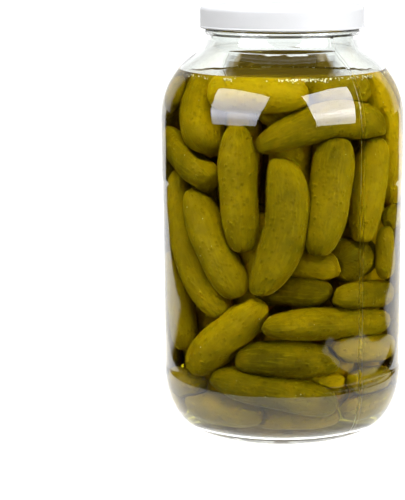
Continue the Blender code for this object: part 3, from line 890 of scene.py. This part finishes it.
# Pickled cucumber skin: olive green going to yellow in patches, matt and slightly waxy. Pale
# streaks run along it, and it has darker flecks and low warts. Wet in brine it has little gloss.
PATCH_SIZE = 23.8
STREAK_WIDTH = 1.613
STREAK_STRETCH = 0.16
FLECK_SIZE = 3.03
WART_SPACING = 3.448
cucumber_skin = bpy.data.materials.new("pickled_cucumber_skin")
cucumber_skin.use_nodes = True
tree = cucumber_skin.node_tree
shader = tree.nodes["Principled BSDF"]
skin = add(tree, "ShaderNodeAttribute", attribute_name="skin")
tint = add(tree, "ShaderNodeAttribute", attribute_name="tint")
place = add(tree, "ShaderNodeTexCoord")
patches = add(tree, "ShaderNodeTexNoise", {"Vector": place.outputs["Object"],
                                           "Scale": 1.0 / (PATCH_SIZE * MM), "Detail": 4.0,
                                           "Roughness": 0.6})
stretch = add(tree, "ShaderNodeMapping", {"Vector": skin.outputs["Vector"],
                                          "Scale": (STREAK_STRETCH, 1.0, 1.0)})
streaks = add(tree, "ShaderNodeTexNoise", {"Vector": stretch.outputs[0],
                                           "Scale": 1.0 / (STREAK_WIDTH * MM), "Detail": 3.0,
                                           "Roughness": 0.6})
flecks = add(tree, "ShaderNodeTexNoise", {"Vector": skin.outputs["Vector"],
                                          "Scale": 1.0 / (FLECK_SIZE * MM), "Detail": 2.0,
                                          "Roughness": 0.6})
warts = add(tree, "ShaderNodeTexVoronoi", {"Vector": skin.outputs["Vector"],
                                           "Scale": 1.0 / (WART_SPACING * MM)}, feature="F1")
own = add(tree, "ShaderNodeMath", {0: tint.outputs["Fac"], 1: 0.7}, operation="MULTIPLY")
ripe = add(tree, "ShaderNodeMath", {0: patches.outputs[0], 1: 0.8, 2: own.outputs[0]},
           operation="MULTIPLY_ADD")
ripening = add(tree, "ShaderNodeMapRange", {0: ripe.outputs[0], 1: 0.38, 2: 1.1, 3: 0.0,
                                            4: 1.0})
tone = add(tree, "ShaderNodeMix", {0: ripening.outputs[0], 6: linear("#423902"),
                                   7: linear("#9a8203")}, data_type="RGBA")
streak = add(tree, "ShaderNodeMapRange", {0: streaks.outputs[0], 1: 0.50, 2: 0.75, 3: 0.0,
                                          4: 0.22})
streaked = add(tree, "ShaderNodeMix", {0: streak.outputs[0], 6: tone.outputs[2],
                                       7: linear("#a0900c")}, data_type="RGBA")
rough_patch = add(tree, "ShaderNodeMapRange", {0: patches.outputs[0], 1: 0.42, 2: 0.62, 3: 0.08,
                                               4: 0.38})
fleck = add(tree, "ShaderNodeMapRange", {0: flecks.outputs[0], 1: 0.34, 2: 0.52,
                                         3: rough_patch.outputs[0], 4: 0.0})
flecked = add(tree, "ShaderNodeMix", {0: fleck.outputs[0], 6: streaked.outputs[2],
                                      7: linear("#3f3c02")}, data_type="RGBA")
pit = add(tree, "ShaderNodeMapRange", {0: warts.outputs["Distance"], 1: 0.05, 2: 0.18,
                                       3: rough_patch.outputs[0], 4: 0.0})
pitted = add(tree, "ShaderNodeMix", {0: pit.outputs[0], 6: flecked.outputs[2],
                                     7: linear("#353002")}, data_type="RGBA")
tree.links.new(pitted.outputs[2], shader.inputs["Base Color"])
shader.inputs["Roughness"].default_value = 0.4
shader.inputs["IOR"].default_value = 1.15
shader.inputs["Subsurface Weight"].default_value = 0.5
shader.inputs["Subsurface Radius"].default_value = (1.0, 0.7, 0.08)
shader.inputs["Subsurface Scale"].default_value = 0.006
wart = add(tree, "ShaderNodeMapRange", {0: warts.outputs["Distance"], 1: 0.05, 2: 0.45,
                                        3: 1.0, 4: 0.0}, interpolation_type="SMOOTHSTEP")
relief = add(tree, "ShaderNodeMath", {0: streaks.outputs[0], 1: 0.5, 2: wart.outputs[0]},
             operation="MULTIPLY_ADD")
bumps = add(tree, "ShaderNodeBump", {"Height": relief.outputs[0], "Strength": 0.7,
                                     "Distance": 0.0007})
tree.links.new(bumps.outputs[0], shader.inputs["Normal"])
gherkin_heap = finished("gherkins", heap_form, [cucumber_skin], 80.0)
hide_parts("pickles")

# ------------------------------------------------------------------------------------------------
# The brine. Clear salt brine, stained yellow-green by the gherkins. It fills the jar round them
# to the shoulder, wets the wall, and climbs it a little at its edge.
# ------------------------------------------------------------------------------------------------
WALL_OVERLAP = 0.3
MENISCUS = 0.8
MENISCUS_WIDTH = 4.0
MENISCUS_STEPS = 8
BASE_ZONE = 30.0
BRINE_STEPS = 96
BRINE_STAIN = 48.9

# Its outline is the inside of the glass, moved a little into the wall, and near the base also
# down into the glass of the base.
brine_outline = []
for radius, height in INNER:
    if height < BRINE_LEVEL + MENISCUS:
        outwards = WALL_OVERLAP if radius > 0.0 else 0.0
        downwards = WALL_OVERLAP if height < BASE_ZONE else 0.0
        brine_outline.append((radius + outwards, height - downwards))
edge_radius = inner_radius(BRINE_LEVEL + MENISCUS) + WALL_OVERLAP
brine_outline.append((edge_radius, BRINE_LEVEL + MENISCUS))
for share in [step / MENISCUS_STEPS for step in range(1, MENISCUS_STEPS + 1)]:
    brine_outline.append((edge_radius - WALL_OVERLAP - MENISCUS_WIDTH * share,
                          BRINE_LEVEL + MENISCUS * (1.0 - share) ** 2.2))
brine_outline += run(brine_outline[-1], (0.0, BRINE_LEVEL), 6) + [(0.0, BRINE_LEVEL)]
brine_form = spun(brine_outline, BRINE_STEPS)

# Pickling brine: water, salt and vinegar, clear, but stained by the skins, so that it gets more
# yellow with its depth. It doesn't mirror, and lamps shine straight through its surface.
pickling_brine = bpy.data.materials.new("pickling_brine")
pickling_brine.use_nodes = True
tree = pickling_brine.node_tree
shader = tree.nodes["Principled BSDF"]
shader.inputs["Transmission Weight"].default_value = 1.0
shader.inputs["Base Color"].default_value = linear("#ffffff")
shader.inputs["Roughness"].default_value = 0.0
shader.inputs["IOR"].default_value = 1.33
shader.inputs["Specular Tint"].default_value = linear("#000000")
path = add(tree, "ShaderNodeLightPath")
clear = add(tree, "ShaderNodeBsdfTransparent")
lamp_lit = add(tree, "ShaderNodeMixShader", {0: path.outputs["Is Shadow Ray"],
                                             1: shader.outputs[0], 2: clear.outputs[0]})
stain = add(tree, "ShaderNodeVolumeAbsorption", {"Color": linear("#efea45"),
                                                 "Density": BRINE_STAIN})
output = tree.nodes["Material Output"]
tree.links.new(lamp_lit.outputs[0], output.inputs["Surface"])
tree.links.new(stain.outputs[0], output.inputs["Volume"])

finished("brine", brine_form, [pickling_brine], 50.0)

# ------------------------------------------------------------------------------------------------
# The bubbles. Small beads of air and froth along the edge of the brine, and finer ones that cling
# to the glass and to the skins further down.
# ------------------------------------------------------------------------------------------------
BEADS = 700
FROTH_BEADS = 330
GLASS_BEADS = 90
BEAD_MESH = (8, 5)
BEAD_CLEAR = 0.1
SEEN_DEPTH = 9.0
FROTH_CLUSTERS = (-48, -30, 2, 8, 14, 20, 27, 40, 52, 75, 110, 140, 165, 190, 214, 250, 300)

# Froth: air in a thin film of brine, pale, and yellower where the film is thicker.
FILM_PATCH = 4.0
froth = bpy.data.materials.new("froth")
froth.use_nodes = True
tree = froth.node_tree
shader = tree.nodes["Principled BSDF"]
place = add(tree, "ShaderNodeTexCoord")
film = add(tree, "ShaderNodeTexNoise", {"Vector": place.outputs["Object"],
                                        "Scale": 1.0 / (FILM_PATCH * MM), "Detail": 1.0})
tone = add(tree, "ShaderNodeMix", {0: film.outputs[0], 6: linear("#bdb983"),
                                   7: linear("#e3e1c6")}, data_type="RGBA")
tree.links.new(tone.outputs[2], shader.inputs["Base Color"])
shader.inputs["Roughness"].default_value = 0.2

# The froth's beads come first, in clusters round the edge, and then those on the glass. The rest
# sit on gherkins of the outer layer.
bead_ball = ball(*BEAD_MESH)
bubble_form = bmesh.new()
outer_layer = [one for one in gherkins if one["mesh"] == OUTER_MESH]
for number in range(BEADS):
    size = draw.uniform(0.14, 0.45)
    if number < FROTH_BEADS:
        azimuth = draw.choice(FROTH_CLUSTERS) + draw.gauss(0.0, 4.0)
        height = BRINE_LEVEL - size - abs(draw.gauss(0.0, 0.9))
    else:
        azimuth = draw.uniform(0.0, 360.0)
        height = draw.uniform(30.0, BRINE_LEVEL - 6.0)
        size *= 0.7
    spot = wall_point(azimuth, height, size + 0.15)
    if number >= FROTH_BEADS + GLASS_BEADS:
        one = draw.choice(outer_layer)
        skin_spot = Vector(draw.choice(list(one["points"])))
        size = draw.uniform(0.13, 0.30)
        depth = inner_radius(skin_spot.z) - skin_spot.xy.length
        if depth > SEEN_DEPTH or skin_spot.z > BRINE_LEVEL - 2.0:
            continue
        proud = min(BEAD_CLEAR, max(depth - size - BEAD_CLEAR, -size))
        spot = skin_spot + skin_spot.xy.normalized().to_3d() * proud
    bead = bead_ball.copy()
    bead.transform(Matrix.Translation(spot * MM) @ Matrix.Scale(size * MM, 4))
    bubble_form.from_mesh(bead)
    bpy.data.meshes.remove(bead)
finished("bubbles", bubble_form, [froth], 80.0)
